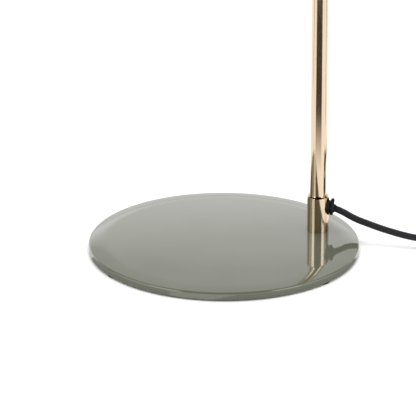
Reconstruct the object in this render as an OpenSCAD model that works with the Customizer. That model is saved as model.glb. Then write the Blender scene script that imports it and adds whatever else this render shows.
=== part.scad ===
// Floor lamp with a heavy round base, an offset pole and an adjustable arm.
// The origin is the middle of the base's underside, on the floor. +Z is up, +X points
// from the middle of the base to the pole, and the arm reaches over the base along -X.

/* [Base] */
// Diameter of the round base
base_d = 260; // [240:5:280]
// Height of the base's flat top above the floor
base_h = 10; // [9.5:0.5:12]
// Thickness of the rubber feet
foot_h = 1.5; // [1:0.5:2]
// Thickness of the pressed steel cover
cover_t = 1.2; // [1:0.1:1.5]

/* [Pole] */
// Diameter of the pole
pole_d = 16; // [15:0.5:17]
// Wall thickness of the pole
pole_wall = 1.2; // [1:0.1:1.5]
// Distance from the middle of the base to the pole
pole_offset = 95; // [85:1:98]
// Height of the joint between the two lengths of pole
pole_joint = 640; // [400:20:900]
// Height of the top of the pole
pole_top = 1240; // [1100:20:1400]
// Outer diameter of the collar at the foot of the pole
collar_d = 21; // [20:0.5:23]
// Length of the collar
collar_h = 36.5; // [36:0.5:50]

/* [Cord outlet] */
// Height of the gland above the base
gland_h = 24.5; // [24:0.5:26]
// Direction in which the gland points, from +X
gland_angle = -20; // [-25:1:-15]

/* [Arm] */
// Diameter of the arm
arm_d = 12; // [11:0.5:13]
// Distance between the arm's two pivots
arm_length = 430; // [350:10:480]
// Slope of the arm above the horizontal
arm_angle = 15; // [0:5:40]

/* [Shade] */
// Diameter of the shade's mouth
shade_d = 190; // [180:5:220]
// Height of the shade
shade_h = 140; // [130:5:170]
// Wall thickness of the shade
shade_t = 1.2; // [1:0.1:1.5]
// Diameter of the cap above the shade
cap_d = 56; // [56:1:60]

/* [Cord] */
// Diameter of the braided cord
cord_d = 6.5; // [6:0.5:7]

/* [Hidden] */
$fn = 64;
// Clearance between round parts that fit together
fit = 0.05;

// Base
base_r = base_d / 2;
edge_r = 1.8;          // rounding between the top and the side
low_edge_r = 0.8;      // rounding at the bottom of the side
crown_r = 110;         // radius of the roll-off towards the rim
crown_a = 8.5;         // slope where the roll-off meets the edge
crown_x = base_r - edge_r - (crown_r - edge_r) * sin(crown_a);
edge_z = base_h - crown_r + (crown_r - edge_r) * cos(crown_a);
weight_gap = 0.5;
weight_edge = 2.5;      // width of the weight's sloping edge
weight_rise = 0.6;
foot_r = 7;
centre_foot_r = 15;
foot_ring = base_r - 7.5;
foot_angles = [-165, -58, 15, 122];
bolt_r = 4;
bolt_bore = 4.5;
bolt_recess_r = 11;
bolt_recess_z = 6.4;
washer_t = 1.5;
bolt_head_r = 6.5;
bolt_head_h = 3;
bolt_hex_r = 2.9;
bolt_hex_h = 2;

// Pole
pole_r = pole_d / 2;
pole_bore = pole_r - pole_wall;
insert_h = 18;
collar_r = collar_d / 2;
collar_edge = 1.2;
screw_r = 2;
screw_hex_r = 1.1;
screw_hex_h = 1.2;
screw_sink = 0.4;      // how far the screw's end lies below the collar's surface
screw_z = base_h + 10;
screw_angle = gland_angle + 180;
gland_z = base_h + gland_h;
shank_r = 4.6;
saddle_z = 10.8;        // from the pole's axis to the outside of the gland's first flange
flange_r = 8.2;
coupler_half = 30;

// Swivel on top of the pole
bush_flange = 3;
bearing_t = 0.6;       // thickness of the bearing washers
spigot_r = 5;
spigot_bore = 3;
groove_z = pole_top + 19.3;
groove_r = 4.2;
clip_gap = 0.05;
spigot_top = pole_top + 22;
swivel_low = pole_top + 3.7;
swivel_bearing = pole_top + 18.9;
swivel_slot = pole_top + 24;
pivot_z = pole_top + 40;
knuckle_r = 11;
knuckle_slot = 5.2;    // half width of the slot
knuckle_flat = 9.5;    // half width over the flats
tongue_half = 4.65;
pin_r = 3;
knob_r = 10;
knob_gap = 0.2;
knob_h = 11.3;

// Arm, measured from its lower pivot along the arm
arm_r = arm_d / 2;
arm_bore = arm_r - 1;
socket_r = 8.5;
tube_low = 32;
tube_high = arm_length - 54;
spigot2_r = 4.5;
spigot2_low = arm_length - 48;
spigot2_high = arm_length - 25;
groove2_z = arm_length - 27.7;
groove2_r = 3.8;
wire_bore = 2.6;
wrist_r = 9.5;
wrist_slot = arm_length - 17;
wrist_flat = 8.2;
wrist_gap = 4.2;
stem_half = 3.65;
pin2_r = 2.5;

// Shade, measured down from its own pivot
shade_x = pole_offset - arm_length * cos(arm_angle);
shade_z = pivot_z + arm_length * sin(arm_angle);
cap_r = cap_d / 2;
cap_top = -55;
cap_low = -112;
cap_t = 1.5;
cap_edge = 6;
stem_r = 5;
holder_top = -82;
holder_low = -132;
holder_r = 20;
holder_bore = 14.2;
shade_r = shade_d / 2;
shade_low = cap_low - shade_h;
shoulder_x = 30;
shoulder_r = 40;
shoulder_a = 14;
shell_r = 13.3;
bulb_r = 30;
bulb_mid = -172;
bulb_neck = 13.9;
bulb_neck_z = -121;
bulb_join_a = 35;
switch_x = -17;        // the switch stands beside the stem, in the cap's top
nose_r = 4.5;
button_r = 3.2;
button_top = -47.5;
button_low = -58;
spring_low = -65;

// Cord. It leaves the gland, sinks to the floor and is wound into a coil beside the lamp.
cord_r = cord_d / 2;
tie_t = 0.8;
coil_mid = [262, -31];
coil_in = 28.5;        // innermost turn
coil_out = 48;         // outermost turn
coil_join_a = -105;    // where the cord joins the outermost turn
cord_route = [
    [103.5, -3.1, 34.3], [107.2, -4.5, 33.4], [112, -6.6, 31.8], [118, -9.6, 29], [124.5, -13.6, 25.3],
    [131, -18, 22.4], [137.5, -22.5, 20.3], [144, -27, 18.2], [151, -31.5, 16.1], [158, -36.3, 14.4],
    [165, -40.8, 12.8], [172, -45.2, 11.5], [179.3, -49.2, 10.4], [187, -53, 9.2], [195, -57, 7.8],
    [203, -60.5, 6.4], [211, -64, 5.2], [219, -67.5, 4.2], [228, -71, 3.7], [238, -74.5, 3.9]
];
tail_route = [
    [310, -31, 10.5], [310, -20, 10.5], [310, -9, 10.5], [310, 2, 9.8], [309.5, 13, 8.3],
    [309, 24, 6.6], [308, 35, 4.9], [306.5, 46, 3.9], [305, 57, 3.6], [303.5, 68, 4],
    [302, 79, 5], [301, 90, 6.3], [301, 101, 6.8]
];
plug_x = 301;
plug_y = 101;
plug_z = 6.8;
relief_h = 28;
plug_h = 27;
plug_w = 35;
plug_t = 13.6;
pin_gap = 18.6;
plug_pin_r = 2;
plug_pin_h = 19;

// Points of an arc from angle a to angle b
function arc(mid, r, a, b, steps = 8) =
    [for (i = [0 : steps]) mid + r * [cos(a + (b - a) * i / steps), sin(a + (b - a) * i / steps)]];

function unit(v) = v / norm(v);

// Direction of a route at its point i
function heading(route, i) =
    unit(route[min(i + 1, len(route) - 1)] - route[max(i - 1, 0)]);

// Ring of points round a route's point i
function hoop(route, i, r, sides) =
    let (along = heading(route, i), side = unit(cross(along, [0, 0, 1])), up = cross(side, along))
    [for (k = [0 : sides - 1]) route[i] + r * (cos(360 * k / sides) * side + sin(360 * k / sides) * up)];

// Round rod swept along a route
module sweep(route, r, sides = 10) {
    last = len(route) - 1;
    points = [for (i = [0 : last]) each hoop(route, i, r, sides)];
    walls = [for (i = [0 : last - 1], k = [0 : sides - 1])
        let (a = i * sides + k, b = i * sides + (k + 1) % sides)
        each [[a, b, b + sides], [a, b + sides, a + sides]]];
    start = [for (k = [0 : sides - 1]) sides - 1 - k];
    end = [for (k = [0 : sides - 1]) last * sides + k];
    polyhedron(points = points, faces = concat([start], walls, [end]), convexity = 6);
}

// Ring standing on the XY plane
module ring(outer, inner, h) {
    difference() {
        cylinder(r = outer, h = h);
        translate([0, 0, -1]) cylinder(r = inner, h = h + 2);
    }
}

// Places things on the pole's axis
module at_pole(z = 0) { translate([pole_offset, 0, z]) children(); }

// Local +Z points out of the collar along the gland
module along_gland() { at_pole(gland_z) rotate([0, 0, gland_angle]) rotate([0, 90, 0]) children(); }

// Local +Z runs along the arm from its lower pivot
module along_arm() { at_pole(pivot_z) rotate([0, arm_angle - 90, 0]) children(); }

// Local origin is the shade's pivot
module at_shade(z = 0) { translate([shade_x, 0, shade_z + z]) children(); }

// Local +Z points along +Y
module along_y() { rotate([-90, 0, 0]) children(); }

// Turned barrel with a bearing in its foot and a slot for a tongue across its head
module fork(r, low, bore, bearing, cavity, slot, pivot, gap, flat, pin) {
    difference() {
        intersection() {
            translate([0, 0, low]) cylinder(r = r, h = pivot + r - low);
            union() {
                translate([-r, -r, low]) cube([2 * r, 2 * r, pivot - low]);
                translate([0, -r, pivot]) along_y() cylinder(r = r, h = 2 * r);
            }
        }
        translate([0, 0, low - 1]) cylinder(r = bore, h = bearing - low + 2);
        translate([0, 0, bearing]) cylinder(r = cavity, h = slot - bearing + 1);
        translate([-r - 1, -gap, slot]) cube([2 * r + 2, 2 * gap, pivot + r - slot + 1]);
        for (y = [-flat - r, flat]) translate([-r - 1, y, slot]) cube([2 * r + 2, r, pivot + 2 * r - slot]);
        translate([0, -r - 1, pivot]) along_y() cylinder(r = pin + fit, h = 2 * r + 2);
    }
}

// Flat disc with a bore across Y, and a bar that leaves it along +Z
module tongue(r, half, pin, bar, length) {
    difference() {
        union() {
            translate([0, -half, 0]) along_y() cylinder(r = r, h = 2 * half);
            translate([-bar, -half, 0]) cube([2 * bar, 2 * half, length]);
        }
        translate([0, -half - 1, 0]) along_y() cylinder(r = pin + fit, h = 2 * half + 2);
    }
}

// Two discs, one on each side of a tongue
module washer_pair(r, pin, near, far) {
    for (y = [near, -far]) translate([0, y, 0]) along_y() ring(r, pin + fit, far - near);
}

// Spigot with a through bore and a groove for a clip near its top
module spigot(r, bore, low, high, groove, groove_r) {
    difference() {
        translate([0, 0, low]) cylinder(r = r, h = high - low);
        translate([0, 0, low - 1]) cylinder(r = bore, h = high - low + 2);
        translate([0, 0, groove]) ring(r + 1, groove_r, 1.2);
    }
}

// Pressed steel cover with a rolled-off rim and a plain side
module base_cover() {
    inner_r = base_r - cover_t;
    outline = concat(
        [[0, base_h]],
        arc([crown_x, base_h - crown_r], crown_r, 90, 90 - crown_a, 10),
        arc([base_r - edge_r, edge_z], edge_r, 90 - crown_a, 0, 8),
        arc([base_r - low_edge_r, foot_h + low_edge_r], low_edge_r, 0, -90, 5),
        [[inner_r, foot_h]],
        arc([base_r - edge_r, edge_z], edge_r - cover_t, 0, 90 - crown_a, 6),
        arc([crown_x, base_h - crown_r], crown_r - cover_t, 90 - crown_a, 90, 8),
        [[0, base_h - cover_t]]
    );
    color([0.61, 0.62, 0.58]) difference() {
        rotate_extrude($fn = 180) polygon(outline);
        at_pole() cylinder(r = bolt_bore, h = base_h + 1);
    }
}

// Cast iron disc under the cover, recessed from below for the bolt
module base_weight() {
    r = base_r - cover_t - weight_gap;
    color([0.25, 0.25, 0.26]) difference() {
        rotate_extrude($fn = 180) polygon([
            [0, foot_h], [r, foot_h], [r, edge_z - weight_gap], [r - weight_edge, edge_z + weight_rise],
            [crown_x, base_h - cover_t], [0, base_h - cover_t]
        ]);
        at_pole() cylinder(r = bolt_bore, h = base_h);
        at_pole() cylinder(r = bolt_recess_r, h = bolt_recess_z);
    }
}

// Four stick-on feet that reach almost to the rim
module base_feet() {
    color([0.06, 0.06, 0.06])
    for (a = foot_angles) rotate([0, 0, a]) translate([foot_ring, 0, 0]) cylinder(r = foot_r, h = foot_h);
}

// Larger foot in the middle, level with the others
module centre_foot() {
    color([0.06, 0.06, 0.06]) cylinder(r = centre_foot_r, h = foot_h);
}

module base_washer() {
    color([0.7, 0.7, 0.72]) at_pole(bolt_recess_z - washer_t) ring(bolt_recess_r - 1, bolt_r + 0.2, washer_t);
}

// Bolt that holds the pole to the base, with a hexagon socket in its head
module base_bolt() {
    head_z = bolt_recess_z - washer_t - bolt_head_h;
    color([0.7, 0.7, 0.72]) at_pole(head_z) difference() {
        union() {
            cylinder(r = bolt_head_r, h = bolt_head_h);
            cylinder(r = bolt_r, h = base_h + insert_h - 4 - head_z);
        }
        translate([0, 0, -1]) cylinder(r = bolt_hex_r, h = bolt_hex_h + 1, $fn = 6);
    }
}

// Threaded plug pressed into the bottom of the pole
module pole_insert() {
    color([0.7, 0.7, 0.72]) at_pole(base_h) ring(pole_bore - fit, bolt_r + fit, insert_h);
}

// Sleeve round the foot of the pole, drilled for the gland and its clamping screw
module collar() {
    color([0.85, 0.75, 0.58]) difference() {
        at_pole(base_h) rotate_extrude() polygon([
            [pole_r + fit, 0], [collar_r, 0], [collar_r, collar_h - collar_edge],
            [collar_r - collar_edge, collar_h], [pole_r + fit, collar_h]
        ]);
        along_gland() cylinder(r = shank_r + fit, h = collar_r + 1);
        at_pole(screw_z) rotate([0, 0, screw_angle]) rotate([0, 90, 0])
            cylinder(r = screw_r + fit, h = collar_r + 1);
    }
}

// Headless screw opposite the gland
module collar_screw() {
    color([0.7, 0.7, 0.72]) at_pole(screw_z) rotate([0, 0, screw_angle]) rotate([0, 90, 0])
    difference() {
        translate([0, 0, pole_r + fit]) cylinder(r = screw_r, h = collar_r - pole_r - screw_sink);
        translate([0, 0, collar_r - screw_sink - screw_hex_h]) cylinder(r = screw_hex_r, h = 2, $fn = 6);
    }
}

// Rubber spool: a flange saddled on the collar, a neck and a free flange that the cord pulls down
module cord_gland() {
    neck_r = 6;
    neck_h = 2;
    outer_z = saddle_z + 1;
    outer_t = 3.4;         // thickness of the outer flange
    outer_edge = 0.9;
    droop = 6.5;
    lip_t = 0.9;           // short lip round the cord where it comes out
    lip_end = cord_route[1] + 0.7 * (cord_route[2] - cord_route[1]);
    color([0.07, 0.07, 0.08]) difference() {
        union() {
            along_gland() translate([0, 0, pole_bore - 2])
                cylinder(r = shank_r, h = collar_r + 2 - pole_bore);
            difference() {
                along_gland() translate([0, 0, 5]) rotate_extrude() polygon([
                    [0, 0], [flange_r, 0], [flange_r, saddle_z - 5.5], [flange_r - 0.5, saddle_z - 5],
                    [0, saddle_z - 5]
                ]);
                at_pole() cylinder(r = collar_r + fit, h = pole_joint);
            }
            along_gland() translate([0, 0, saddle_z - 0.2]) cylinder(r = neck_r, h = neck_h);
            along_gland() translate([0, 0, outer_z]) rotate([0, droop, 0]) rotate_extrude() polygon(concat(
                [[0, 0]],
                arc([flange_r - outer_edge, outer_edge], outer_edge, -90, 0, 4),
                arc([flange_r - outer_edge, outer_t - outer_edge], outer_edge, 0, 90, 4),
                [[0, outer_t]]
            ));
            sweep([cord_route[1], lip_end], cord_r + lip_t, 20);
        }
        along_gland() cylinder(r = cord_r + fit, h = collar_r - 0.5);
        sweep([for (i = [0 : 3]) cord_route[i]], cord_r + fit, 20);
    }
}

// Lower length of pole, drilled for the gland
module lower_pole() {
    color([0.85, 0.75, 0.58]) difference() {
        at_pole(base_h) ring(pole_r, pole_bore, pole_joint - base_h);
        along_gland() cylinder(r = shank_r + fit, h = pole_r + 1);
    }
}

// Threaded sleeve inside both lengths of pole
module pole_coupler() {
    color([0.7, 0.7, 0.72]) at_pole(pole_joint - coupler_half) ring(pole_bore - fit, 4, 2 * coupler_half);
}

module upper_pole() {
    color([0.85, 0.75, 0.58]) at_pole(pole_joint) ring(pole_r, pole_bore, pole_top - pole_joint);
}

// Two-core lead from the gland to the swivel
module pole_lead() {
    r = 2.5;
    color([0.2, 0.2, 0.2]) union() {
        along_gland() cylinder(r = r, h = pole_r + 0.4);
        at_pole(gland_z) sphere(r = r + 0.3);
        at_pole(gland_z) cylinder(r = r, h = spigot_top - gland_z);
    }
}

// Bush in the top of the pole, with the spigot that the arm swivels on
module pole_bush() {
    color([0.8, 0.68, 0.5]) at_pole() union() {
        translate([0, 0, pole_top - 22]) ring(pole_bore - fit, spigot_bore, 22);
        translate([0, 0, pole_top]) ring(pole_r, spigot_bore, bush_flange);
        spigot(spigot_r, spigot_bore, pole_top + bush_flange, spigot_top, groove_z, groove_r);
    }
}

module swivel_clip() {
    color([0.6, 0.6, 0.62]) at_pole(groove_z + clip_gap) ring(7, groove_r + clip_gap, 1.1);
}

module swivel_washer() {
    color([0.9, 0.9, 0.88]) at_pole(pole_top + bush_flange + 0.1) ring(pole_r, spigot_r + 0.1, bearing_t);
}

// Fork that turns on the pole and carries the arm's pivot
module swivel_fork() {
    color([0.85, 0.75, 0.58]) at_pole()
    fork(knuckle_r, swivel_low, spigot_r + fit, swivel_bearing, 8, swivel_slot, pivot_z,
         knuckle_slot, knuckle_flat, pin_r);
}

module arm_pivot_bolt() {
    color([0.8, 0.68, 0.5]) at_pole(pivot_z) along_y() difference() {
        union() {
            translate([0, 0, -knuckle_flat - 2.5]) cylinder(r = 5.5, h = 2.5);
            translate([0, 0, -knuckle_flat - 1]) cylinder(r = pin_r, h = 2 * knuckle_flat + 9.5);
        }
        translate([-6, -0.6, -knuckle_flat - 3]) cube([12, 1.2, 1.5]);
    }
}

module arm_washers() {
    color([0.35, 0.25, 0.18]) at_pole(pivot_z) washer_pair(9.5, pin_r, tongue_half + 0.05, knuckle_slot);
}

// Fluted knob that tightens the arm's pivot
module arm_knob() {
    flutes = 18;
    color([0.8, 0.68, 0.5]) at_pole(pivot_z) along_y() translate([0, 0, knuckle_flat + knob_gap])
    difference() {
        rotate_extrude() polygon([
            [0, 0], [7, 0], [7, 1.6], [knob_r - 0.8, 1.6], [knob_r, 2.4],
            [knob_r, knob_h - 1.2], [knob_r - 1.2, knob_h], [0, knob_h]
        ]);
        translate([0, 0, -1]) cylinder(r = pin_r + fit, h = 9.6);
        for (i = [0 : flutes - 1]) rotate([0, 0, 360 * i / flutes])
            translate([knob_r + 0.4, 0, 1]) cylinder(r = 0.9, h = knob_h, $fn = 16);
    }
}

// Tongue in the fork, with the socket that the arm's tube is fixed in
module arm_tongue() {
    color([0.85, 0.75, 0.58]) along_arm() difference() {
        union() {
            tongue(10.5, tongue_half, pin_r, 6, 28);
            translate([0, 0, 26]) cylinder(r1 = socket_r - 1, r2 = socket_r, h = 1);
            translate([0, 0, 27]) cylinder(r = socket_r, h = 21);
        }
        translate([0, 0, tube_low]) cylinder(r = arm_r + fit, h = 20);
    }
}

module arm_tube() {
    color([0.85, 0.75, 0.58]) along_arm() translate([0, 0, tube_low])
        ring(arm_r, arm_bore, tube_high - tube_low);
}

module arm_lead() {
    color([0.2, 0.2, 0.2]) along_arm() translate([0, 0, tube_low + 1])
        cylinder(r = 2.3, h = spigot2_high - tube_low - 1);
}

// Ferrule on the end of the arm, with the spigot that the wrist turns on
module arm_end() {
    color([0.85, 0.75, 0.58]) along_arm() difference() {
        union() {
            translate([0, 0, arm_length - 66]) cylinder(r = socket_r, h = 18);
            spigot(spigot2_r, wire_bore, spigot2_low - 1, spigot2_high, groove2_z, groove2_r);
        }
        translate([0, 0, arm_length - 67]) cylinder(r = arm_r + fit, h = 13);
        translate([0, 0, arm_length - 60]) cylinder(r = wire_bore, h = 40);
    }
}

module wrist_clip() {
    color([0.6, 0.6, 0.62]) along_arm() translate([0, 0, groove2_z + 2 * clip_gap])
        ring(6.3, groove2_r + clip_gap, 1);
}

module wrist_washer() {
    color([0.9, 0.9, 0.88]) along_arm() translate([0, 0, spigot2_low + 0.1])
        ring(8, spigot2_r + 0.1, bearing_t);
}

// Fork that turns on the arm and carries the shade's pivot
module wrist_fork() {
    color([0.85, 0.75, 0.58]) along_arm()
    fork(wrist_r, spigot2_low + 0.7, spigot2_r + fit, arm_length - 28, 7, wrist_slot, arm_length,
         wrist_gap, wrist_flat, pin2_r);
}

module shade_pivot_screw() {
    color([0.8, 0.68, 0.5]) at_shade() along_y() difference() {
        union() {
            translate([0, 0, -wrist_flat - 1.8]) cylinder(r = 4.5, h = 1.8);
            translate([0, 0, -wrist_flat - 1]) cylinder(r = pin2_r, h = 2 * wrist_flat + 4);
        }
        translate([-5, -0.5, -wrist_flat - 2.5]) cube([10, 1, 1.4]);
    }
}

// Domed nut on the end of the shade's pivot screw
module shade_pivot_nut() {
    color([0.8, 0.68, 0.5]) at_shade() along_y() translate([0, 0, wrist_flat]) difference() {
        rotate_extrude() polygon(concat([[0, 0], [4.5, 0]], arc([0, 2], 4.5, 0, 90, 8)));
        translate([0, 0, -1]) cylinder(r = pin2_r + fit, h = 4.2);
    }
}

module shade_washers() {
    color([0.35, 0.25, 0.18]) at_shade() washer_pair(8.5, pin2_r, stem_half + 0.05, wrist_gap);
}

// Stem that hangs from the wrist, carries the cap and ends in the lampholder
module shade_stem() {
    color([0.85, 0.75, 0.58]) at_shade() difference() {
        union() {
            mirror([0, 0, 1]) tongue(9, stem_half, pin2_r, 4, 22);
            translate([0, 0, -90]) cylinder(r = stem_r, h = 71);
            translate([0, 0, cap_top]) cylinder(r = 8, h = 3);
        }
        translate([0, 0, -91]) cylinder(r = 2, h = 77);
    }
}

// Closed cup over the switch and the lampholder
module shade_cap() {
    outline = concat(
        [[stem_r + fit, cap_top]],
        arc([cap_r - cap_edge, cap_top - cap_edge], cap_edge, 90, 0),
        [[cap_r, cap_low], [cap_r - cap_t, cap_low]],
        arc([cap_r - cap_edge, cap_top - cap_edge], cap_edge - cap_t, 0, 90),
        [[stem_r + fit, cap_top - cap_t]]
    );
    color([0.85, 0.75, 0.58]) at_shade() difference() {
        rotate_extrude() polygon(outline);
        translate([switch_x, 0, cap_top - 5]) cylinder(r = nose_r + fit, h = 6);
    }
}

// Nut that holds the cap against the stem's shoulder
module stem_nut() {
    color([0.7, 0.7, 0.72]) at_shade(cap_top - cap_t - 3.5) difference() {
        cylinder(r = 9, h = 3.5, $fn = 6);
        translate([0, 0, -1]) cylinder(r = stem_r + fit, h = 6);
    }
}

// Push-button switch under the cap's top, held by its threaded nose
module switch_body() {
    body_z = cap_top - cap_t - 1;
    color([0.1, 0.1, 0.1]) at_shade() translate([switch_x, 0, 0]) difference() {
        union() {
            translate([-6, -6, body_z - 15]) cube([12, 12, 15]);
            translate([0, 0, body_z - 1]) cylinder(r = nose_r, h = 7);
        }
        translate([0, 0, spring_low]) cylinder(r = button_r + 0.06, h = 20);
    }
}

module switch_nut() {
    color([0.8, 0.68, 0.5]) at_shade(cap_top) translate([switch_x, 0, 0]) difference() {
        cylinder(r = 6.4, h = 2.5, $fn = 6);
        translate([0, 0, -1]) cylinder(r = nose_r + fit, h = 5);
    }
}

// Spring under the button
module switch_spring() {
    color([0.7, 0.7, 0.72]) at_shade(spring_low) translate([switch_x, 0, 0])
        ring(2.8, 2.1, button_low - spring_low);
}

module switch_button() {
    crown = 1;
    color([0.8, 0.68, 0.5]) at_shade() translate([switch_x, 0, button_low]) union() {
        cylinder(r = button_r, h = button_top - button_low - crown);
        translate([0, 0, button_top - button_low - crown])
            cylinder(r1 = button_r, r2 = button_r - crown, h = crown);
    }
}

// Moulded lampholder with a shoulder above the shade
module lampholder() {
    color([0.12, 0.12, 0.12]) at_shade() difference() {
        union() {
            translate([0, 0, holder_low]) cylinder(r = holder_r, h = holder_top - holder_low);
            translate([0, 0, cap_low]) cylinder(r = holder_r + 3, h = 6);
        }
        translate([0, 0, holder_low - 1]) cylinder(r = holder_bore, h = -91 - holder_low);
        translate([0, 0, -90.5]) cylinder(r = stem_r + fit, h = 10);
    }
}

// Threaded shell that the bulb screws into
module socket_shell() {
    color([0.8, 0.68, 0.5]) at_shade(-119) ring(holder_bore, shell_r, 24);
}

module centre_contact() {
    color([0.8, 0.68, 0.5]) at_shade(-93.6) cylinder(r = 4, h = 1.6);
}

// Threaded ring that clamps the shade to the lampholder
module shade_ring() {
    color([0.12, 0.12, 0.12]) at_shade(cap_low - shade_t - 6) ring(26, holder_r + fit, 6);
}

// Spun shade: a flat seat, a round shoulder and a flared side
module shade() {
    mid = [shoulder_x, cap_low - shoulder_r];
    outline = concat(
        [[holder_r + fit, cap_low]],
        arc(mid, shoulder_r, 90, shoulder_a, 16),
        [[shade_r, shade_low], [shade_r - shade_t, shade_low]],
        arc(mid, shoulder_r - shade_t, shoulder_a, 90, 16),
        [[holder_r + fit, cap_low - shade_t]]
    );
    color([0.61, 0.62, 0.58]) at_shade() rotate_extrude($fn = 128) polygon(outline);
}

// Screw cap of the bulb, with its contact
module bulb_base() {
    color([0.75, 0.75, 0.77]) at_shade() union() {
        translate([0, 0, bulb_neck_z]) cylinder(r = 13.2, h = 24);
        translate([0, 0, bulb_neck_z + 24]) cylinder(r1 = 10, r2 = 4.5, h = 3.3);
    }
}

// Blown glass envelope, open where it meets its screw cap
module bulb_glass() {
    t = 1;
    slope = [-sin(bulb_join_a), cos(bulb_join_a)];
    join = [0, bulb_mid] + bulb_r * [cos(bulb_join_a), sin(bulb_join_a)];
    neck = join + slope * (join[0] - bulb_neck) / sin(bulb_join_a);
    outline = concat(
        [[bulb_neck, bulb_neck_z], neck + [0, 1.5], neck - 1.5 * slope],
        arc([0, bulb_mid], bulb_r, bulb_join_a, -90, 20),
        arc([0, bulb_mid], bulb_r - t, -90, bulb_join_a, 20),
        [[bulb_neck - t, neck[1] - 0.5], [bulb_neck - t, bulb_neck_z]]
    );
    color([0.95, 0.95, 0.92, 0.5]) at_shade() rotate_extrude() polygon(outline);
}

module shade_lead() {
    color([0.2, 0.2, 0.2]) at_shade(-89) cylinder(r = 1.8, h = 70);
}

// Stretch of cord from the gland to the coil
module cord() {
    join_x = coil_mid[0] + coil_out * cos(coil_join_a);
    join_y = coil_mid[1] + coil_out * sin(coil_join_a);
    join = [join_x, join_y, cord_r + tie_t];
    color([0.12, 0.12, 0.13]) sweep(concat(cord_route, [join]), cord_r);
}

// Outer shape of the coil, two turns high
module cord_coil() {
    color([0.12, 0.12, 0.13]) translate([coil_mid[0], coil_mid[1], tie_t])
        ring(coil_out + cord_r, coil_in - cord_r, 2 * cord_d);
}

// Strap wrapped round the coil
module cord_tie() {
    w = 12;
    inside = coil_in - cord_r - 3.5;
    outside = coil_out + cord_r;
    color([0.05, 0.05, 0.05]) translate([coil_mid[0], coil_mid[1], 0]) rotate([0, 0, 125]) difference() {
        translate([inside - tie_t, -w / 2, 0])
            cube([outside - inside + 2 * tie_t, w, 2 * cord_d + 2 * tie_t]);
        translate([inside, -w, tie_t]) cube([outside - inside, 2 * w, 2 * cord_d]);
    }
}

// Stretch of cord from the coil to the plug
module cord_tail() {
    color([0.12, 0.12, 0.13]) sweep(tail_route, cord_r);
}

// Tapered sleeve behind the plug
module plug_strain_relief() {
    color([0.07, 0.07, 0.08]) translate([plug_x, plug_y, plug_z]) along_y() difference() {
        cylinder(r1 = cord_r + 0.9, r2 = cord_r + 1.8, h = relief_h);
        translate([0, 0, -1]) cylinder(r = cord_r + fit, h = relief_h + 2);
    }
}

// Flat two-pin plug, seen from above as a wedge that widens towards its face
module plug_body() {
    y0 = plug_y + relief_h;
    neck = 7;
    color([0.07, 0.07, 0.08]) translate([plug_x, y0, plug_z - plug_t / 2]) linear_extrude(height = plug_t)
        polygon([
            [-neck, 0], [neck, 0], [plug_w / 2 - 2, plug_h - 11], [plug_w / 2, plug_h - 8],
            [plug_w / 2, plug_h - 1], [plug_w / 2 - 1, plug_h], [1 - plug_w / 2, plug_h],
            [-plug_w / 2, plug_h - 1], [-plug_w / 2, plug_h - 8], [2 - plug_w / 2, plug_h - 11]
        ]);
}

module plug_pins() {
    color([0.75, 0.75, 0.77]) for (x = [-pin_gap / 2, pin_gap / 2])
        translate([plug_x + x, plug_y + relief_h + plug_h, plug_z]) along_y() union() {
            cylinder(r = plug_pin_r, h = plug_pin_h - 1);
            translate([0, 0, plug_pin_h - 1]) cylinder(r1 = plug_pin_r, r2 = plug_pin_r - 0.8, h = 1);
        }
}

base_cover();
base_weight();
base_feet();
centre_foot();
base_washer();
base_bolt();
pole_insert();
collar();
collar_screw();
cord_gland();
lower_pole();
pole_coupler();
upper_pole();
pole_lead();
pole_bush();
swivel_clip();
swivel_washer();
swivel_fork();
arm_pivot_bolt();
arm_washers();
arm_knob();
arm_tongue();
arm_tube();
arm_lead();
arm_end();
wrist_clip();
wrist_washer();
wrist_fork();
shade_pivot_screw();
shade_pivot_nut();
shade_washers();
shade_stem();
shade_cap();
stem_nut();
switch_body();
switch_nut();
switch_spring();
switch_button();
lampholder();
socket_shell();
centre_contact();
shade_ring();
shade();
bulb_base();
bulb_glass();
shade_lead();
cord();
cord_coil();
cord_tie();
cord_tail();
plug_strain_relief();
plug_body();
plug_pins();
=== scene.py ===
"""Looks of the adjustable arm floor lamp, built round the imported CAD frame. Metres, +Z up.

The CAD nodes that are already the right shape get a better material. The base's cover, the shade,
the bulb, the cord and what is on it are rebuilt with finer shapes.
"""

import math

import bmesh
import bpy
from mathutils import Matrix, Vector


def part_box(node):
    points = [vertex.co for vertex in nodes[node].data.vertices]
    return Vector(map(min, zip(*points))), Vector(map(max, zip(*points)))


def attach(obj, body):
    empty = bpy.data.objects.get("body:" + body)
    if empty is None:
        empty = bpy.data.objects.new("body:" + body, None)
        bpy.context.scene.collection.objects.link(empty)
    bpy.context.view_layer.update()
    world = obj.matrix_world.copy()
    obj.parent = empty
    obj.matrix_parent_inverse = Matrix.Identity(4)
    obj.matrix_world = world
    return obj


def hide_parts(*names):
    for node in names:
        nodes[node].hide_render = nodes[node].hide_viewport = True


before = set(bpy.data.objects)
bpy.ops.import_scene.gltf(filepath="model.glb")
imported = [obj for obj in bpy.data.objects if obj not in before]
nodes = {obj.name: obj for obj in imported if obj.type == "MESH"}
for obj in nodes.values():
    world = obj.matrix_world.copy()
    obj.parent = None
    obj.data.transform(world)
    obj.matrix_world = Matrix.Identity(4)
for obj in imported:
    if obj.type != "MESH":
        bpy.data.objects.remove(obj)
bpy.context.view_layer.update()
scene = bpy.context.scene
MM = 0.001


# ---- Camera, at the photograph's viewing angle ----

VIEW_TURN = math.radians(17.5)      # how far the view is turned from +Y towards +X
VIEW_DOWN = math.radians(21.64)     # how far the camera looks down
VIEW_ROLL = math.radians(0.2)
VIEW_DISTANCE = 6.0
VIEW_TARGET = Vector((0.0182, 0.1092, 0))
LENS = 530.6

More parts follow.
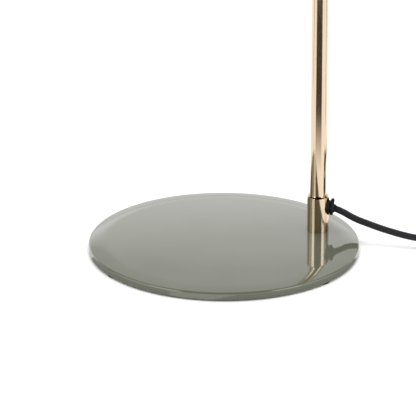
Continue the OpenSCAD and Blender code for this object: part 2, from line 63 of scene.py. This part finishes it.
view_flat = Vector((math.sin(VIEW_TURN), math.cos(VIEW_TURN), 0))
view_side = Vector((math.cos(VIEW_TURN), -math.sin(VIEW_TURN), 0))


def make_camera():
    """A long lens, so the lamp is seen almost without perspective."""
    ahead = view_flat * math.cos(VIEW_DOWN) - Vector((0, 0, math.sin(VIEW_DOWN)))
    up = view_side.cross(ahead)
    side = view_side * math.cos(VIEW_ROLL) + up * math.sin(VIEW_ROLL)
    up = side.cross(ahead)
    data = bpy.data.cameras.new("camera")
    data.lens = LENS
    data.sensor_width = 36
    data.clip_end = 50
    camera = bpy.data.objects.new("camera", data)
    scene.collection.objects.link(camera)
    turn = Matrix((side, up, -ahead)).transposed().to_4x4()
    camera.matrix_world = Matrix.Translation(VIEW_TARGET - ahead * VIEW_DISTANCE) @ turn
    scene.camera = camera


make_camera()


# ---- Node materials ----

class Look:
    """A material with a Principled shader and short ways to wire detail into it."""

    def __init__(self, name, colour, roughness, **sockets):
        self.material = bpy.data.materials.new(name)
        self.material.use_nodes = True
        self.tree = self.material.node_tree
        self.shader = self.tree.nodes["Principled BSDF"]
        self.coords = self.tree.nodes.new("ShaderNodeTexCoord")
        self.set("Base Color", (*colour, 1))
        self.set("Roughness", roughness)
        for key, value in sockets.items():
            self.set(key.replace("_", " "), value)

    def set(self, socket, value):
        self.shader.inputs[socket].default_value = value

    def link(self, output, node_input):
        self.tree.links.new(output, node_input)

    def node(self, kind, **values):
        made = self.tree.nodes.new(kind)
        for key, value in values.items():
            if key in made.bl_rna.properties:
                setattr(made, key, value)
            else:
                made.inputs[key.replace("_", " ")].default_value = value
        return made

    def stretched(self, scale, source="Object"):
        """Coordinates scaled differently along each axis."""
        mapping = self.node("ShaderNodeMapping", Scale=scale)
        self.link(self.coords.outputs[source], mapping.inputs["Vector"])
        return mapping.outputs["Vector"]

    def noise(self, scale, detail=3, along=(1, 1, 1)):
        made = self.node("ShaderNodeTexNoise", Scale=scale, Detail=detail)
        self.link(self.stretched(along), made.inputs["Vector"])
        return made.outputs["Fac"]

    def ranged(self, value, low, high, start=0.3, end=0.7):
        """Carries value's range start to end over to low to high."""
        made = self.node("ShaderNodeMapRange")
        for key, number in (("From Min", start), ("From Max", end), ("To Min", low), ("To Max", high)):
            made.inputs[key].default_value = number
        self.link(value, made.inputs["Value"])
        return made.outputs["Result"]

    def mixed(self, value, first, second):
        """A colour between two colours."""
        made = self.node("ShaderNodeMix", data_type="RGBA")
        made.inputs["A"].default_value = (*first, 1)
        made.inputs["B"].default_value = (*second, 1)
        self.link(value, made.inputs["Factor"])
        return made.outputs["Result"]

    def colour_from(self, value, first, second):
        self.link(self.mixed(value, first, second), self.shader.inputs["Base Color"])

    def rough_from(self, value, low, high):
        self.link(self.ranged(value, low, high), self.shader.inputs["Roughness"])

    def bump(self, height, distance, strength=1.0, round_edges=0.0):
        """Relief of the given depth in metres, over edges that catch light as if rounded."""
        made = self.node("ShaderNodeBump", Strength=strength, Distance=distance)
        self.link(height, made.inputs["Height"])
        if round_edges:
            edge = self.node("ShaderNodeBevel", samples=4, Radius=round_edges)
            self.link(edge.outputs["Normal"], made.inputs["Normal"])
        self.link(made.outputs["Normal"], self.shader.inputs["Normal"])


def lacquer(name, dark, light):
    """Glossy stoved lacquer with faint orange peel and the odd fine mark in its gloss."""
    look = Look(name, light, 0.06, Specular_IOR_Level=0.5, IOR=1.9)
    look.colour_from(look.ranged(look.noise(9, 4), 0, 1), dark, light)
    look.rough_from(look.noise(160, 5), 0.035, 0.085)
    look.bump(look.noise(900, 2), 0.000002)
    return look.material


def plated(name, light, deep, rough_low, rough_high, grain=(1, 1, 0.06), edges=0.0004):
    """Drawn and plated metal: fine grain along one axis and slow changes of tone."""
    look = Look(name, light, rough_low, Metallic=1.0)
    look.colour_from(look.ranged(look.noise(55, 4, grain), 0, 1), deep, light)
    look.rough_from(look.noise(420, 5, grain), rough_low, rough_high)
    look.bump(look.noise(1400, 3, grain), 0.0000015, round_edges=edges)
    return look.material


def rubber(name, dark, light):
    look = Look(name, dark, 0.5, Specular_IOR_Level=0.25)
    look.colour_from(look.ranged(look.noise(240, 5), 0, 1), dark, light)
    look.rough_from(look.noise(500, 4), 0.36, 0.6)
    look.bump(look.noise(1500, 3), 0.00002, round_edges=0.0006)
    return look.material


def moulded(name, dark, light, low=0.3, high=0.45):
    """Moulded plastic with a fine spark-eroded texture."""
    look = Look(name, dark, low)
    look.colour_from(look.ranged(look.noise(60, 3), 0, 1), dark, light)
    look.rough_from(look.noise(700, 4), low, high)
    look.bump(look.noise(2600, 2), 0.00001, round_edges=0.0005)
    return look.material


def cast(name, dark, light):
    look = Look(name, dark, 0.7, Metallic=0.6)
    look.colour_from(look.ranged(look.noise(40, 6), 0, 1), dark, light)
    look.rough_from(look.noise(200, 5), 0.55, 0.85)
    look.bump(look.noise(500, 6), 0.0002)
    return look.material


def braid(name, length, pitch, dark, light):
    """Two sets of crossing yarns round a cord. The pattern follows the cord's own length."""
    look = Look(name, dark, 0.85, Sheen_Weight=0.06, Sheen_Roughness=0.5, Specular_IOR_Level=0.1)
    yarns = 12
    split = look.node("ShaderNodeSeparateXYZ")
    look.link(look.coords.outputs["UV"], split.inputs["Vector"])
    ridges = []
    for sign in (1, -1):
        along = look.node("ShaderNodeMath", operation="MULTIPLY")
        look.link(split.outputs["X"], along.inputs[0])
        along.inputs[1].default_value = length / pitch
        around = look.node("ShaderNodeMath", operation="MULTIPLY_ADD")
        look.link(split.outputs["Y"], around.inputs[0])
        around.inputs[1].default_value = sign * yarns
        look.link(along.outputs["Value"], around.inputs[2])
        turn = look.node("ShaderNodeMath", operation="MULTIPLY")
        look.link(around.outputs["Value"], turn.inputs[0])
        turn.inputs[1].default_value = 2 * math.pi
        wave = look.node("ShaderNodeMath", operation="SINE")
        look.link(turn.outputs["Value"], wave.inputs[0])
        ridges.append(wave.outputs["Value"])
    height = look.node("ShaderNodeMath", operation="MAXIMUM")
    look.link(ridges[0], height.inputs[0])
    look.link(ridges[1], height.inputs[1])
    # Colour darker down between the yarns and lighter on their crowns: painted shade in the gaps, on top of
    # the bump's relief.
    look.colour_from(look.ranged(height.outputs["Value"], 0, 1, -0.4, 1.0), dark, light)
    look.bump(height.outputs["Value"], 0.0002)
    return look.material


SAGE_DARK, SAGE_LIGHT = (0.105, 0.112, 0.078), (0.125, 0.132, 0.095)
CHAMPAGNE, CHAMPAGNE_DEEP = (0.71, 0.565, 0.415), (0.66, 0.515, 0.365)

SAGE = lacquer("sage_lacquer", SAGE_DARK, SAGE_LIGHT)
PLATE = plated("champagne_plate", CHAMPAGNE, CHAMPAGNE_DEEP, 0.07, 0.13)
BRASS = plated("turned_brass", (0.74, 0.55, 0.32), (0.66, 0.47, 0.25), 0.14, 0.28, (1, 1, 1))
ZINC = plated("bright_zinc", (0.62, 0.63, 0.66), (0.5, 0.51, 0.55), 0.22, 0.4, (1, 1, 1))
NICKEL = plated("nickel_plate", (0.72, 0.71, 0.68), (0.64, 0.63, 0.6), 0.12, 0.25, (1, 1, 1))
IRON = cast("cast_iron", (0.05, 0.05, 0.052), (0.11, 0.11, 0.115))
RUBBER = rubber("black_rubber", (0.005, 0.005, 0.006), (0.014, 0.014, 0.015))
BLACK = moulded("black_plastic", (0.012, 0.012, 0.013), (0.025, 0.025, 0.027))
PVC = moulded("black_sleeve", (0.02, 0.02, 0.02), (0.04, 0.04, 0.04), 0.25, 0.4)
NYLON = moulded("natural_nylon", (0.72, 0.7, 0.64), (0.8, 0.78, 0.72), 0.35, 0.5)
FIBRE = rubber("brown_fibre", (0.12, 0.07, 0.04), (0.2, 0.12, 0.07))
WHITE = lacquer("white_enamel", (0.78, 0.78, 0.75), (0.84, 0.84, 0.81))

CARRIED = {
    "base_weight": IRON, "base_feet": RUBBER, "centre_foot": RUBBER, "base_washer": ZINC, "base_bolt": ZINC,
    "pole_insert": ZINC, "collar": PLATE, "collar_screw": ZINC, "cord_gland": RUBBER, "lower_pole": PLATE,
    "pole_coupler": ZINC, "upper_pole": PLATE, "pole_lead": PVC, "pole_bush": BRASS, "swivel_clip": ZINC,
    "swivel_washer": NYLON, "swivel_fork": PLATE, "arm_pivot_bolt": BRASS, "arm_washers": FIBRE,
    "arm_knob": BRASS, "arm_tongue": PLATE, "arm_tube": PLATE, "arm_lead": PVC, "arm_end": PLATE,
    "wrist_clip": ZINC, "wrist_washer": NYLON, "wrist_fork": PLATE, "shade_pivot_screw": BRASS,
    "shade_pivot_nut": BRASS, "shade_washers": FIBRE, "shade_stem": PLATE, "shade_cap": PLATE,
    "stem_nut": ZINC, "switch_body": BLACK, "switch_nut": BRASS, "switch_spring": ZINC,
    "switch_button": BRASS, "lampholder": BLACK, "socket_shell": BRASS, "centre_contact": BRASS,
    "shade_ring": BLACK, "shade_lead": PVC, "plug_pins": NICKEL,
}
for name, material in CARRIED.items():
    nodes[name].data.materials.clear()
    nodes[name].data.materials.append(material)


# ---- Mesh helpers ----

def keep(obj, body, slot, *replaced):
    """Adds a new piece to the scene, ties it to its body and hides the nodes it stands for. The slot is not
    used.
    """
    scene.collection.objects.link(obj)
    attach(obj, body)
    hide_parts(*replaced)
    return obj


def arc(middle, radius, first, last, steps=8):
    """Points of an arc in an outline, from one angle in degrees to another."""
    points = []
    for i in range(steps + 1):
        angle = math.radians(first + (last - first) * i / steps)
        points.append((middle[0] + radius * math.cos(angle), middle[1] + radius * math.sin(angle)))
    return points


def smooth_edges(mesh, sharp=35):
    """Shades a mesh smooth, except over edges that turn by more than an angle."""
    shape = bmesh.new()
    shape.from_mesh(mesh)
    bmesh.ops.recalc_face_normals(shape, faces=shape.faces)
    for face in shape.faces:
        face.smooth = True
    for edge in shape.edges:
        edge.smooth = len(edge.link_faces) == 2 and edge.calc_face_angle(0) < math.radians(sharp)
    shape.to_mesh(mesh)
    shape.free()


def turned(name, outline, place, steps=96, materials=(), inside=(), sharp=35):
    """Turns a closed outline of (radius, height) in mm round Z. Outline edges in inside take material 2."""
    points, faces, kinds = [], [], []
    first = []
    for radius, height in outline:
        first.append(len(points))
        count = 1 if radius < 1e-6 else steps
        for k in range(count):
            angle = 2 * math.pi * k / steps
            points.append((radius * MM * math.cos(angle), radius * MM * math.sin(angle), height * MM))
    size = len(outline)
    for i in range(size):
        j = (i + 1) % size
        low, high = outline[i][0] < 1e-6, outline[j][0] < 1e-6
        if low and high:
            continue
        for k in range(steps):
            m = (k + 1) % steps
            corners = [first[i] + (0 if low else k), first[j] + (0 if high else k)]
            if not high:
                corners.append(first[j] + m)
            if not low:
                corners.append(first[i] + m)
            faces.append(corners)
            kinds.append(1 if i in inside else 0)
    mesh = bpy.data.meshes.new(name)
    mesh.from_pydata(points, [], faces)
    for material in materials:
        mesh.materials.append(material)
    mesh.polygons.foreach_set("material_index", kinds)
    mesh.transform(place)
    smooth_edges(mesh, sharp)
    return bpy.data.objects.new(name, mesh)


def middle(node):
    """Middle of a node's box."""
    low, high = (Vector(corner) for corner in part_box(node))
    return (low + high) / 2


# ---- Cord: from the gland down to the floor, wound into a tied coil, and out to the plug ----

CORD_R = 0.00325
TIE_T = 0.0008
ROUTE = [
    (0.1035, -0.0031, 0.0343), (0.1072, -0.0045, 0.0334), (0.1120, -0.0066, 0.0318),
    (0.1180, -0.0096, 0.0290), (0.1245, -0.0136, 0.0253), (0.1310, -0.0180, 0.0224),
    (0.1375, -0.0225, 0.0203), (0.1440, -0.0270, 0.0182), (0.1510, -0.0315, 0.0161),
    (0.1580, -0.0363, 0.0144), (0.1650, -0.0408, 0.0128), (0.1720, -0.0452, 0.0115),
    (0.1793, -0.0492, 0.0104), (0.1870, -0.0530, 0.0092), (0.1950, -0.0570, 0.0078),
    (0.2030, -0.0605, 0.0064), (0.2110, -0.0640, 0.0052), (0.2190, -0.0675, 0.0042),
    (0.2280, -0.0710, 0.0037), (0.2380, -0.0745, 0.0039),
]
TAIL = [
    (0.3100, -0.0200, 0.0105), (0.3100, -0.0090, 0.0105), (0.3100, 0.0020, 0.0098),
    (0.3095, 0.0130, 0.0083), (0.3090, 0.0240, 0.0066), (0.3080, 0.0350, 0.0049),
    (0.3065, 0.0460, 0.0039), (0.3050, 0.0570, 0.0036), (0.3035, 0.0680, 0.0040),
    (0.3020, 0.0790, 0.0050), (0.3010, 0.0900, 0.0063), (0.3010, 0.1010, 0.0068),
    (0.3010, 0.1150, 0.0068),
]
COIL_MIDDLE = Vector((0.262, -0.031, 0))
TURN_STEPS = 24
CROSSING = 0.6                      # share of a turn in which the cord steps over to the next one
START_ANGLE = math.radians(-105)
# Radius of each turn from the floor up: inwards on the floor, then outwards on top of that
LOW_TURNS = [0.048, 0.0415, 0.035, 0.0285]
HIGH_TURNS = [0.0285, 0.035, 0.0415]
LAST_TURN = 0.048
CLIMB_INWARDS = 0.003               # how far the cord moves in where it climbs to the upper layer


def ease(x):
    x = min(max(x, 0), 1)
    return x * x * (3 - 2 * x)


def coil_point(radius, angle, height):
    return COIL_MIDDLE + Vector((radius * math.cos(angle), radius * math.sin(angle), height))


def coil_points():
    """Turns of the coil. Each one drifts to the radius of the next in its last part."""
    low_z = CORD_R + TIE_T
    high_z = low_z + 2 * CORD_R
    radii = LOW_TURNS + HIGH_TURNS + [LAST_TURN]
    climbing = len(LOW_TURNS) - 1
    points = []
    for turn in range(len(radii) - 1):
        for step in range(TURN_STEPS):
            part = step / TURN_STEPS
            cross = ease((part - (1 - CROSSING)) / CROSSING)
            radius = radii[turn] + (radii[turn + 1] - radii[turn]) * cross
            height = low_z if turn < climbing else high_z
            if turn == climbing:
                radius -= CLIMB_INWARDS * 2 * math.sqrt(cross * (1 - cross))
                height = low_z + (high_z - low_z) * cross
            angle = START_ANGLE + 2 * math.pi * part
            points.append(coil_point(radius, angle, height))
    final = round(TURN_STEPS * -START_ANGLE / (2 * math.pi))
    for step in range(final + 1):
        angle = START_ANGLE - START_ANGLE * step / final
        points.append(coil_point(LAST_TURN, angle, high_z))
    return points


def make_cord():
    points = [Vector(p) for p in ROUTE] + coil_points() + [Vector(p) for p in TAIL]
    length = sum((b - a).length for a, b in zip(points, points[1:]))
    data = bpy.data.curves.new("braided_cord", "CURVE")
    data.dimensions = "3D"
    data.resolution_u = 5
    data.bevel_depth = CORD_R
    data.bevel_resolution = 5
    data.use_fill_caps = True
    line = data.splines.new("BEZIER")
    line.bezier_points.add(len(points) - 1)
    for knot, point in zip(line.bezier_points, points):
        knot.co = point
        knot.handle_left_type = "AUTO"
        knot.handle_right_type = "AUTO"
    pitch = 0.0026
    data.materials.append(braid("textile_braid", length, pitch, (0.006, 0.006, 0.007), (0.034, 0.032, 0.036)))
    cord = bpy.data.objects.new("braided_cord", data)
    keep(cord, "stand", "braid", "cord", "cord_coil", "cord_tail")
    return cord, points[0], length


def make_tie():
    """Strap with rounded corners round the coil's section."""
    inner, outer = 0.0214, 0.0517
    top = 0.0142
    width = 0.012
    corner = 0.003
    chamfer = 0.0004
    turn = Matrix.Translation(COIL_MIDDLE) @ Matrix.Rotation(math.radians(125), 4, "Z")
    # The strap's middle line in the section's plane: distance from the coil's middle, height
    line = []
    for cx, cz, start in (
        (outer - corner, top - corner, 0), (inner + corner, top - corner, 90),
        (inner + corner, TIE_T / 2 + corner, 180), (outer - corner, TIE_T / 2 + corner, 270),
    ):
        line += arc((cx, cz), corner, start, start + 90, 6)
    points, faces = [], []
    count = len(line)
    for i, (x, z) in enumerate(line):
        before, after = Vector(line[i - 1]), Vector(line[(i + 1) % count])
        along = (after - before).normalized()
        out = Vector((along.y, -along.x)) * TIE_T / 2
        for dx, dz, y in (
            (out.x, out.y, width / 2 - chamfer), (out.x, out.y, chamfer - width / 2), (0, 0, -width / 2),
            (-out.x, -out.y, chamfer - width / 2), (-out.x, -out.y, width / 2 - chamfer), (0, 0, width / 2),
        ):
            points.append(turn @ Vector((x + dx, y, z + dz)))
    for i in range(count):
        j = (i + 1) % count
        for k in range(6):
            m = (k + 1) % 6
            faces.append((6 * i + k, 6 * j + k, 6 * j + m, 6 * i + m))
    mesh = bpy.data.meshes.new("coil_tie")
    mesh.from_pydata(points, [], faces)
    mesh.materials.append(RUBBER)
    smooth_edges(mesh, 50)
    return keep(bpy.data.objects.new("coil_tie", mesh), "stand", "rubber_black", "cord_tie")


def make_plug():
    """Strain relief with grooves, a flat body with rounded edges, and sleeved pins."""
    low, high = (Vector(c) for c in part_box("plug_strain_relief"))
    mid_x, mid_z = (low.x + high.x) / 2, (low.z + high.z) / 2
    start, length = low.y / MM, (high.y - low.y) / MM
    place = Matrix.Translation((mid_x, low.y, mid_z)) @ Matrix.Rotation(math.radians(-90), 4, "X")
    bore, thin_end, thick_end = 3.05, 3.9, 5
    grooves, groove_step, groove_depth = 5, 4.2, 0.7
    outline = [(bore, 0), (thin_end - 0.4, 0), (thin_end, 0.6)]
    for i in range(grooves):
        z = 3 + i * groove_step
        wide = thin_end + (thick_end - thin_end) * z / length
        groove_r = wide - groove_depth
        outline += [(wide, z), (groove_r, z + 0.5), (groove_r, z + 1.7), (wide + 0.1, z + 2.2)]
    outline += [(thick_end, length - 0.5), (thick_end, length), (bore, length)]
    relief = turned("plug_boot", outline, place, 48, [RUBBER], sharp=40)
    keep(relief, "stand", "rubber_black", "plug_strain_relief")

    low, high = (Vector(c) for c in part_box("plug_body"))
    half_w, half_t, long = (high.x - low.x) / 2, (high.z - low.z) / 2, high.y - low.y
    # Sections along the body: share of its length, of its width and of its thickness
    rings = [
        (0.0, 0.36, 0.62), (0.02, 0.40, 0.70), (0.12, 0.48, 0.80), (0.30, 0.68, 0.92), (0.45, 0.85, 0.98),
        (0.58, 0.95, 1.0), (0.70, 0.99, 1.0), (0.93, 1.0, 1.0), (0.985, 0.98, 0.96), (1.0, 0.95, 0.92),
    ]
    points, faces = [], []
    sides = 32
    for along, wide, thick in rings:
        for k in range(sides):
            angle = 2 * math.pi * (k + 0.5) / sides
            x, z = math.cos(angle), math.sin(angle)
            x = math.copysign(abs(x) ** 0.55, x)
            z = math.copysign(abs(z) ** 0.45, z)
            points.append((mid_x + x * half_w * wide, low.y + along * long, mid_z + z * half_t * thick))
    for i in range(len(rings) - 1):
        for k in range(sides):
            m = (k + 1) % sides
            faces.append((sides * i + k, sides * i + m, sides * (i + 1) + m, sides * (i + 1) + k))
    faces.append(tuple(range(sides)))
    faces.append(tuple(range(sides * len(rings) - 1, sides * (len(rings) - 1) - 1, -1)))
    mesh = bpy.data.meshes.new("plug_housing")
    mesh.from_pydata(points, [], faces)
    mesh.materials.append(BLACK)
    smooth_edges(mesh, 40)
    body = keep(bpy.data.objects.new("plug_housing", mesh), "stand", "black_plastic", "plug_body")
    return relief, body


cord, cord_start, cord_length = make_cord()
tie = make_tie()
plug_pieces = make_plug()


# ---- Base ----

def make_base():
    """The cover: a flat top, a roll-off towards the rim, a tight edge and a plain side."""
    low, high = (Vector(c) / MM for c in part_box("base_cover"))
    r, top, bottom = high.x, high.z, low.z
    thick, roll, slope, edge = 1.2, 110, 8.5, 1.8
    roll_x = r - edge - (roll - edge) * math.sin(math.radians(slope))
    edge_z = top - roll + (roll - edge) * math.cos(math.radians(slope))
    outline = [(0, top), (roll_x * 0.5, top)]
    outline += arc((roll_x, top - roll), roll, 90, 90 - slope, 16)
    outline += arc((r - edge, edge_z), edge, 90 - slope, 0, 12)[1:]
    outline += arc((r - 0.8, bottom + 0.8), 0.8, 0, -90, 6)
    outline += [(r - thick, bottom)]
    outline += arc((r - edge, edge_z), edge - thick, 0, 90 - slope, 6)
    outline += arc((roll_x, top - roll), roll - thick, 90 - slope, 90, 8)
    outline += [(0, top - thick)]
    cover = turned("base_disc", outline, Matrix.Identity(4), 256, [SAGE], sharp=30)
    keep(cover, "stand", "sage_lacquer", "base_cover")


make_base()


# ---- Shade and bulb ----

def make_shade():
    """Spun shade, lacquered outside and white inside, with a rolled lip at its mouth."""
    low, high = (Vector(c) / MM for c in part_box("shade"))
    centre = middle("shade") / MM
    height, r = high.z - low.z, (high.x - low.x) / 2
    thick, shoulder, start, slope = 1.2, 40, 30, 14
    mid = (start, height - shoulder)
    lip = 1.3
    outline = [(20.1, height)] + arc(mid, shoulder, 90, slope, 24)
    outline += [(r - lip, 3.2)]
    outline += arc((r - lip, lip), lip, 60, -180, 12)
    outline += [(r - 2 * lip - 0.2, 3.2)]
    outer = len(outline) - 3
    outline += arc(mid, shoulder - thick, slope, 90, 24) + [(20.1, height - thick)]
    place = Matrix.Translation(Vector((centre.x, centre.y, low.z)) * MM)
    piece = turned(
        "bell_shade", outline, place, 128, [SAGE, WHITE], inside=range(outer, len(outline)), sharp=40,
    )
    keep(piece, "shade_head", "shade_lacquer", "shade")


def glass_look():
    """Opal glass with a glossy skin."""
    look = Look("opal_glass", (0.93, 0.92, 0.88), 0.25, IOR=1.5, Coat_Weight=0.6, Coat_Roughness=0.05)
    look.colour_from(look.ranged(look.noise(30, 3), 0, 1), (0.88, 0.87, 0.82), (0.94, 0.93, 0.89))
    look.rough_from(look.noise(300, 4), 0.22, 0.25)
    return look.material


def make_bulb():
    """Pear-shaped envelope and a screw cap with a rolled thread."""
    centre = middle("bulb_glass")
    low, high = (Vector(c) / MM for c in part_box("bulb_glass"))
    r, neck, join, wall = (high.x - low.x) / 2, 13.9, 35, 1
    height = high.z - low.z
    join_x = r * math.cos(math.radians(join))
    join_z = r + r * math.sin(math.radians(join))
    neck_z = join_z + (join_x - neck) / math.tan(math.radians(join)) + 1
    outline = [(0, 0)] + arc((0, r), r, -84, join, 28) + arc((neck + 14, neck_z), 14, 180 + join, 180, 8)
    outline += [(neck, height), (neck - wall, height)]
    outline += arc((neck + 14, neck_z), 14 + wall, 180, 180 + join, 8)
    outline += arc((0, r), r - wall, join, -84, 28) + [(0, wall)]
    place = Matrix.Translation((centre.x, centre.y, low.z * MM))
    envelope = turned("bulb_envelope", outline, place, 72, [glass_look()], sharp=60)
    keep(envelope, "shade_head", "clear_glass", "bulb_glass")

    low, high = (Vector(c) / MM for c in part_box("bulb_base"))
    outline = [(0, 0), (13.2, 0), (13.2, 2)]
    turns = 5
    for i in range(turns):
        z = 3 + i * 3.6
        outline += [(12.2, z), (12.0, z + 0.8), (13.0, z + 1.8), (13.0, z + 2.6)]
    outline += [(12.2, 21), (11.8, 23.5), (9.5, 24.4), (4.6, 26.9), (3.4, 27.3), (0, 27.3)]
    place = Matrix.Translation((centre.x, centre.y, low.z * MM))
    keep(turned("bulb_cap", outline, place, 64, [NICKEL], sharp=60), "shade_head", "bulb_cap", "bulb_base")


make_shade()
make_bulb()


# ---- Studio: pale floor, soft light from both sides, and dark flags that give the metal its contrast ----

CARD_LIFT = 0.0006                  # how far cards lie above the floor
FLAG_DISTANCE = 1.9                 # from the pole
PANEL_DISTANCE = 2.1
BACK_DISTANCE = 1.03
CEILING_Z = 1.0


def plain(name, colour, roughness=0.9):
    look = Look(name, colour, roughness, Specular_IOR_Level=0.1)
    look.rough_from(look.noise(3, 2), roughness - 0.05, roughness)
    return look.material


def card(name, corners, material, camera=False, diffuse=False):
    """Flat stage piece. Flags and reflectors show only in reflections."""
    mesh = bpy.data.meshes.new(name)
    mesh.from_pydata(corners, [], [tuple(range(len(corners)))])
    mesh.materials.append(material)
    obj = bpy.data.objects.new(name, mesh)
    scene.collection.objects.link(obj)
    if not camera:
        obj.visible_camera = False
        obj.visible_shadow = False
        obj.visible_transmission = False
    obj.visible_diffuse = diffuse or camera
    return obj


def polar(distance, turn, z):
    """A point at a distance from the pole and an angle from the camera's side, positive to the right."""
    angle = math.radians(turn)
    way = -view_flat * math.cos(angle) + view_side * math.sin(angle)
    pole = middle("lower_pole")
    return Vector((pole.x, pole.y, z)) + way * distance


def glow_material(name, low, high):
    """Reflector that is bright low down and fades towards its top."""
    material = bpy.data.materials.new(name)
    material.use_nodes = True
    tree = material.node_tree
    tree.nodes.clear()
    coords = tree.nodes.new("ShaderNodeTexCoord")
    split = tree.nodes.new("ShaderNodeSeparateXYZ")
    fade = tree.nodes.new("ShaderNodeMapRange")
    for key, value in (("From Min", 0.36), ("From Max", 0.475), ("To Min", low), ("To Max", high)):
        fade.inputs[key].default_value = value
    light = tree.nodes.new("ShaderNodeEmission")
    out = tree.nodes.new("ShaderNodeOutputMaterial")
    tree.links.new(coords.outputs["Object"], split.inputs["Vector"])
    tree.links.new(split.outputs["Z"], fade.inputs["Value"])
    tree.links.new(fade.outputs["Result"], light.inputs["Strength"])
    tree.links.new(light.outputs["Emission"], out.inputs["Surface"])
    return material


def floor_flag_material():
    """Black paper that fades to the floor's white near the lamp."""
    look = Look("floor_flag_paper", (0.05, 0.05, 0.05), 0.9, Specular_IOR_Level=0.1)
    pole = middle("lower_pole")
    away = look.node("ShaderNodeVectorMath", operation="DISTANCE")
    look.link(look.coords.outputs["Object"], away.inputs[0])
    away.inputs[1].default_value = (pole.x, pole.y, 0)
    fade = look.ranged(away.outputs["Value"], 0, 1, 0.19, 0.36)
    look.colour_from(fade, (0.98, 0.98, 0.98), (0.05, 0.045, 0.04))
    return look.material


def softbox(name, turn, distance, width, height, z, power):
    data = bpy.data.lights.new(name, "AREA")
    data.shape = "RECTANGLE"
    data.size = width
    data.size_y = height
    data.energy = power
    light = bpy.data.objects.new(name, data)
    scene.collection.objects.link(light)
    light.visible_glossy = False
    place = polar(distance, turn, z)
    target = Vector((0, 0, 0.35))
    facing = (target - place).to_track_quat("-Z", "Y").to_matrix().to_4x4()
    light.matrix_world = Matrix.Translation(place) @ facing


def upright_flag(name, first, last, distance, low, high, material):
    """Upright card between two angles round the pole."""
    corners = [polar(distance, turn, low) for turn in (first, last)]
    corners += [polar(distance, turn, high) for turn in (last, first)]
    card(name, corners, material)


def two_sided_material():
    """Black seen from below and white seen from above."""
    material = bpy.data.materials.new("two_sided_card")
    material.use_nodes = True
    tree = material.node_tree
    tree.nodes.clear()
    side = tree.nodes.new("ShaderNodeNewGeometry")
    light = tree.nodes.new("ShaderNodeEmission")
    out = tree.nodes.new("ShaderNodeOutputMaterial")
    tree.links.new(side.outputs["Backfacing"], light.inputs["Strength"])
    tree.links.new(light.outputs["Emission"], out.inputs["Surface"])
    return material


def make_studio():
    far = 12
    floor = plain("floor_paper", (0.98, 0.98, 0.98))
    card("floor", [(-far, -far, 0), (far, -far, 0), (far, far, 0), (-far, far, 0)], floor, camera=True)
    black = plain("black_flag", (0.015, 0.013, 0.012))
    front = math.pi / 2 + math.atan2(-view_flat.y, -view_flat.x)
    rim_angles = [front + math.radians(step) for step in range(-170, -9, 10)]
    ring = [polar(0.19, turn, CARD_LIFT) for turn in range(-44, 37, 4)]
    ring += [polar(0.8, turn, CARD_LIFT) for turn in range(36, -45, -4)]
    card("floor_flag", ring, floor_flag_material())
    grey = plain("grey_card", (0.3, 0.3, 0.3))
    for side, first, last, start in (("left", -90, -82, 0.44), ("right", 96, 104, 0.32)):
        inner_end = [polar(start, turn, CARD_LIFT) for turn in (last, first)]
        outer_end = [polar(4, turn, CARD_LIFT) for turn in (first, last)]
        card(side + "_floor_flag", inner_end + outer_end, grey)
    inner, outer = 0.131, 0.150
    rim = [Vector((inner * math.cos(a), inner * math.sin(a), CARD_LIFT)) for a in rim_angles]
    rim += [Vector((outer * math.cos(a), outer * math.sin(a), CARD_LIFT)) for a in reversed(rim_angles)]
    card("rim_shade", rim, grey)
    upright_flag("front_flag", -37, 37, FLAG_DISTANCE, 0.1, 1.7, black)
    upright_flag("left_flag", -128, -100, FLAG_DISTANCE, 0.02, 2.4, black)
    upright_flag("right_flag", 100, 128, FLAG_DISTANCE, 0.02, 2.4, black)
    soft = glow_material("soft_panel", 4.2, 4.2)
    upright_flag("left_panel", -65, -39, PANEL_DISTANCE, 0.7, 1.25, soft)
    upright_flag("right_panel", 39, 65, PANEL_DISTANCE, 0.7, 1.25, soft)
    near, rear, across = -view_flat * FLAG_DISTANCE, view_flat * 0.9, view_side * 0.9
    rise = Vector((0, 0, CEILING_Z))
    ceiling = [near - across, rear - across, rear + across, near + across]
    card("low_ceiling", [corner + rise for corner in ceiling], two_sided_material())
    wide = view_side * 1.6
    reflectors = (
        ("low_back_reflector", 0.08, 0.33, glow_material("low_back_glow", 1.42, 1.42)),
        ("back_reflector", 0.33, 1.2, glow_material("back_glow", 1.83, 0.78)),
    )
    for name, low, high, glow in reflectors:
        foot, head = polar(BACK_DISTANCE, 180, low), polar(BACK_DISTANCE, 180, high)
        card(name, [foot - wide, foot + wide, head + wide, head - wide], glow)
    softbox("left_softbox", -52, 2.2, 1.0, 1.7, 1.0, 6)
    softbox("right_softbox", 52, 2.2, 1.0, 1.7, 1.0, 6)
    softbox("top_softbox", 180, 0.3, 2.0, 2.0, 3.2, 40)
    world = bpy.data.worlds.new("studio")
    scene.world = world
    world.use_nodes = True
    world.node_tree.nodes["Background"].inputs["Color"].default_value = (1, 1, 1, 1)
    world.node_tree.nodes["Background"].inputs["Strength"].default_value = 1.0
    scene.view_settings.view_transform = "Standard"
    scene.view_settings.look = "None"


make_studio()
